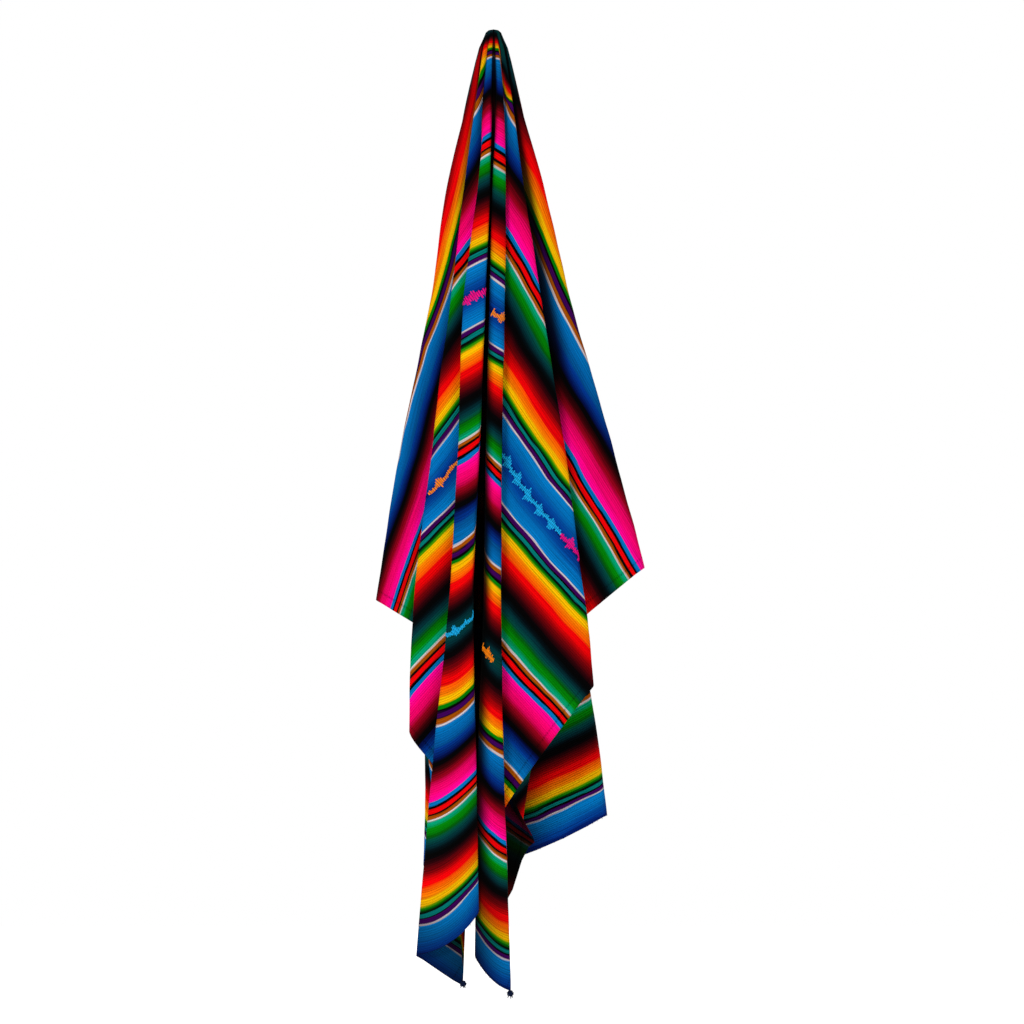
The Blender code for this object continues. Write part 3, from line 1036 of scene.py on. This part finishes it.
@dataclass
class Studio:
    """A pale floor, soft lights and the camera in front."""

    floor_z: float
    far: float = 8.0
    frame_m: float = 1024 * UNIT

    def light(self, name: str, place: tuple[float, float, float], size: float, power: float) -> None:
        """Adds a soft light that looks at the cloth.

        Args:
            name: its name.
            place: where it stands.
            size: side of its square.
            power: in watts.
        """
        lamp = bpy.data.lights.new(name, "AREA")
        lamp.size = size
        lamp.energy = power
        item = bpy.data.objects.new(name, lamp)
        bpy.context.scene.collection.objects.link(item)
        item.location = place
        item.rotation_euler = (Vector((0, 0, -0.6)) - Vector(place)).to_track_quat("-Z", "Y").to_euler()

    def build(self) -> None:
        """Makes the floor, the lights and the camera."""
        scene = bpy.context.scene
        work = bmesh.new()
        bmesh.ops.create_grid(work, x_segments=1, y_segments=1, size=1.7)
        for vert in work.verts:
            vert.co.z = self.floor_z
        mesh = bpy.data.meshes.new("pale_floor")
        work.to_mesh(mesh)
        work.free()
        floor = bpy.data.objects.new("pale_floor", mesh)
        scene.collection.objects.link(floor)
        matt = bpy.data.materials.new("matt_white_floor")
        matt.use_nodes = True
        shader = matt.node_tree.nodes["Principled BSDF"]
        shader.inputs["Base Color"].default_value = (0.5, 0.5, 0.5, 1)
        shader.inputs["Roughness"].default_value = 0.9
        shader.inputs["Specular IOR Level"].default_value = 0.0
        # Glows as much as the room does, so that no edge shows, and takes a faint shade under the cloth
        tree = matt.node_tree
        place = node(tree, "ShaderNodeTexCoord")
        away = node(tree, "ShaderNodeVectorMath", {"operation": "LENGTH"}, {0: place.outputs["Object"]})
        glow = node(tree, "ShaderNodeMapRange", {"interpolation_type": "SMOOTHSTEP"}, {
            "Value": away.outputs["Value"], "From Min": 1.2, "From Max": 1.65, "To Min": 0.72, "To Max": 1.0})
        shader.inputs["Emission Color"].default_value = (1, 1, 1, 1)
        tree.links.new(glow.outputs[0], shader.inputs["Emission Strength"])
        mesh.materials.append(matt)
        floor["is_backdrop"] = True
        world = bpy.data.worlds.new("pale_room")
        world.use_nodes = True
        room = world.node_tree.nodes["Background"]
        room.inputs["Color"].default_value = (1, 1, 1, 1)
        # The pale room is seen brighter than it lights, so the folds keep their shadows
        seen = node(world.node_tree, "ShaderNodeLightPath")
        strength = node(world.node_tree, "ShaderNodeMapRange",
                        inputs={"Value": seen.outputs["Is Camera Ray"], "To Min": 0.4, "To Max": 1.0})
        world.node_tree.links.new(strength.outputs[0], room.inputs["Strength"])
        scene.world = world
        self.light("front_left", (-1.3, -3.0, 0.7), 1.0, 62)
        self.light("front_right", (1.6, -2.8, -0.2), 1.2, 14)
        self.light("back", (0.9, 2.8, 0.6), 1.4, 40)
        lens = bpy.data.cameras.new("front_camera")
        lens.sensor_width = 36
        lens.lens = 36 * self.far / self.frame_m
        camera = bpy.data.objects.new("front_camera", lens)
        scene.collection.objects.link(camera)
        camera.location = ((512 - 495 - CAP_MIDDLE) * UNIT, -self.far, -(512 - 30) * UNIT)
        camera.rotation_euler = (math.radians(90), 0, 0)
        scene.camera = camera
        scene.view_settings.view_transform = "Standard"


# Share of the way from the middle of the blue band to the middle of the teal one, and the yarn there
STRIPES = (
    (0, "01246e"), (0.006, "01246e"), (0.012, "023f90"), (0.03, "02509e"), (0.06, "0374b6"),
    (0.092, "0384c8"), (0.0938, "d0c5c6"), (0.0975, "d0c5c6"), (0.1, "47085e"), (0.112, "47085e"),
    (0.113, "040305"), (0.117, "040305"), (0.118, "07807a"), (0.13, "07807a"), (0.131, "040305"),
    (0.135, "040305"), (0.139, "04420b"), (0.145, "04820b"), (0.152, "60a005"), (0.157, "f0ba05"),
    (0.173, "f0ba05"), (0.18, "f28b02"), (0.21, "f35602"), (0.216, "eb040d"), (0.232, "eb040d"),
    (0.245, "b4020b"), (0.262, "7a010c"), (0.285, "3a010c"), (0.3, "0a0206"), (0.314, "020304"),
    (0.328, "01141a"), (0.345, "023a40"), (0.36, "065048"), (0.374, "05620f"), (0.386, "04820b"),
    (0.4, "088a12"), (0.409, "0f9d6c"), (0.422, "12a183"), (0.4245, "d0c5c6"), (0.428, "d0c5c6"),
    (0.431, "a8590f"), (0.44, "a8590f"), (0.442, "040305"), (0.449, "040305"), (0.45, "eb040d"),
    (0.465, "eb040d"), (0.466, "040305"), (0.474, "040305"), (0.475, "0379ba"), (0.489, "0379ba"),
    (0.49, "fd0aa3"), (0.505, "fb0592"), (0.52, "f4037a"), (0.545, "e20166"), (0.565, "9c0124"),
    (0.592, "430109"), (0.609, "060205"), (0.622, "020206"), (0.634, "021858"), (0.66, "023f90"),
    (0.67, "025693"), (0.72, "0379ba"), (0.725, "0379ba"), (0.728, "d0c5c6"), (0.7325, "d0c5c6"),
    (0.736, "a8590f"), (0.746, "a8590f"), (0.75, "040305"), (0.752, "47085e"), (0.764, "47085e"),
    (0.768, "040305"), (0.774, "040305"), (0.776, "04820b"), (0.786, "04820b"), (0.79, "f0ba05"),
    (0.807, "f0ba05"), (0.813, "f28b02"), (0.84, "f35602"), (0.844, "eb040d"), (0.862, "eb040d"),
    (0.876, "b4020b"), (0.892, "7a010c"), (0.915, "3a010c"), (0.93, "0a0206"), (0.942, "020304"),
    (0.956, "01141a"), (0.975, "023a40"), (1, "06463f"),
)

CREASES = (
    # right panel
    Crease((300, 330), (410, 560), 16, 1.6),
    Crease((250, 200), (335, 470), 13, -1.5),
    Crease((330, 150), (470, 330), 15, -1.8),
    Crease((380, 330), (470, 470), 18, 1.4),
    # right sleeve
    Crease((300, 90), (500, 170), 15, 1.8),
    Crease((240, 120), (470, 240), 13, -1.6),
    # left panel
    Crease((-230, 150), (-330, 330), 13, 1.5),
    Crease((-290, 300), (-430, 520), 15, -1.5),
    # left sleeve
    Crease((-230, 60), (-480, 180), 16, 1.8),
    Crease((-200, 110), (-440, 290), 12, -1.5),
    # front strips
    Crease((-200, 420), (-300, 600), 8, -1.0),
    Crease((210, 430), (330, 610), 7, 0.9),
    Crease((-330, 600), (-420, 790), 14, 1.3),
    # back leaves
    Crease((120, -300), (330, -640), 16, 1.8),
    Crease((200, -240), (430, -470), 15, -1.6),
    Crease((-60, -300), (-150, -700), 15, -1.7),
    Crease((-150, -250), (-330, -560), 16, 1.8),
    Crease((40, -250), (60, -620), 14, 1.5),
    Crease((-300, -160), (-500, -330), 15, -1.5),
    Crease((300, -120), (490, -260), 14, 1.5),
)

FIGURES = (
    FigureRow(273, (-147, -118), Figure.WING, "e6007e"),
    FigureRow(273, (146, 162), Figure.HOOK, "f28200"),
    FigureRow(273, (-345, -303), Figure.COMB, "f28200"),
    FigureRow(273, (-301, -288), Figure.COMB, "14a6de"),
    FigureRow(273, (286, 392), Figure.ARROW, "14a6de"),
    FigureRow(273, (393, 428), Figure.ARROW, "e6007e"),
    FigureRow(546, (-312, -264), Figure.COMB, "14a6de"),
    FigureRow(546, (306, 332), Figure.HOOK, "f28200"),
    FigureRow(-273, (-420, -320), Figure.ARROW, "e6007e"),
    FigureRow(-273, (-290, -170), Figure.ARROW, "14a6de"),
    FigureRow(-273, (-100, -30), Figure.COMB, "f28200"),
    FigureRow(-273, (40, 90), Figure.WING, "e6007e"),
    FigureRow(-273, (150, 290), Figure.ARROW, "14a6de"),
    FigureRow(-273, (330, 400), Figure.COMB, "f28200"),
    FigureRow(-546, (-320, -230), Figure.COMB, "14a6de"),
    FigureRow(-546, (-60, 20), Figure.HOOK, "f28200"),
    FigureRow(-546, (190, 300), Figure.COMB, "14a6de"),
)


def main() -> None:
    """Builds every piece."""
    logging.basicConfig(level=logging.INFO, format="%(name)s: %(message)s")
    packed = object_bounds()
    folds = [Fold(r[0], Turn(r[1]), r[2], tuple(r[3:9]), *r[9:14]) for r in FOLD_TABLE]
    drape = Drape(folds, CREASES)
    cloth = SerapeCloth(drape, WeftFacedWool(STRIPES)).build()
    finder = SheetFinder(drape.grid, drape.normals(drape.grid))
    figures = Brocade(finder, FIGURES).build()
    blue_yarn = SpunYarn("03102e").build("spun_blue_yarn")
    ends = HemEnds(finder).build(blue_yarn)
    knots = [CornerKnot(name).build(blue_yarn) for name in ("left_corner_knot", "right_corner_knot")]
    Studio(floor_z=packed[0][2] - 0.03).build()


if __name__ == "__main__":
    main()
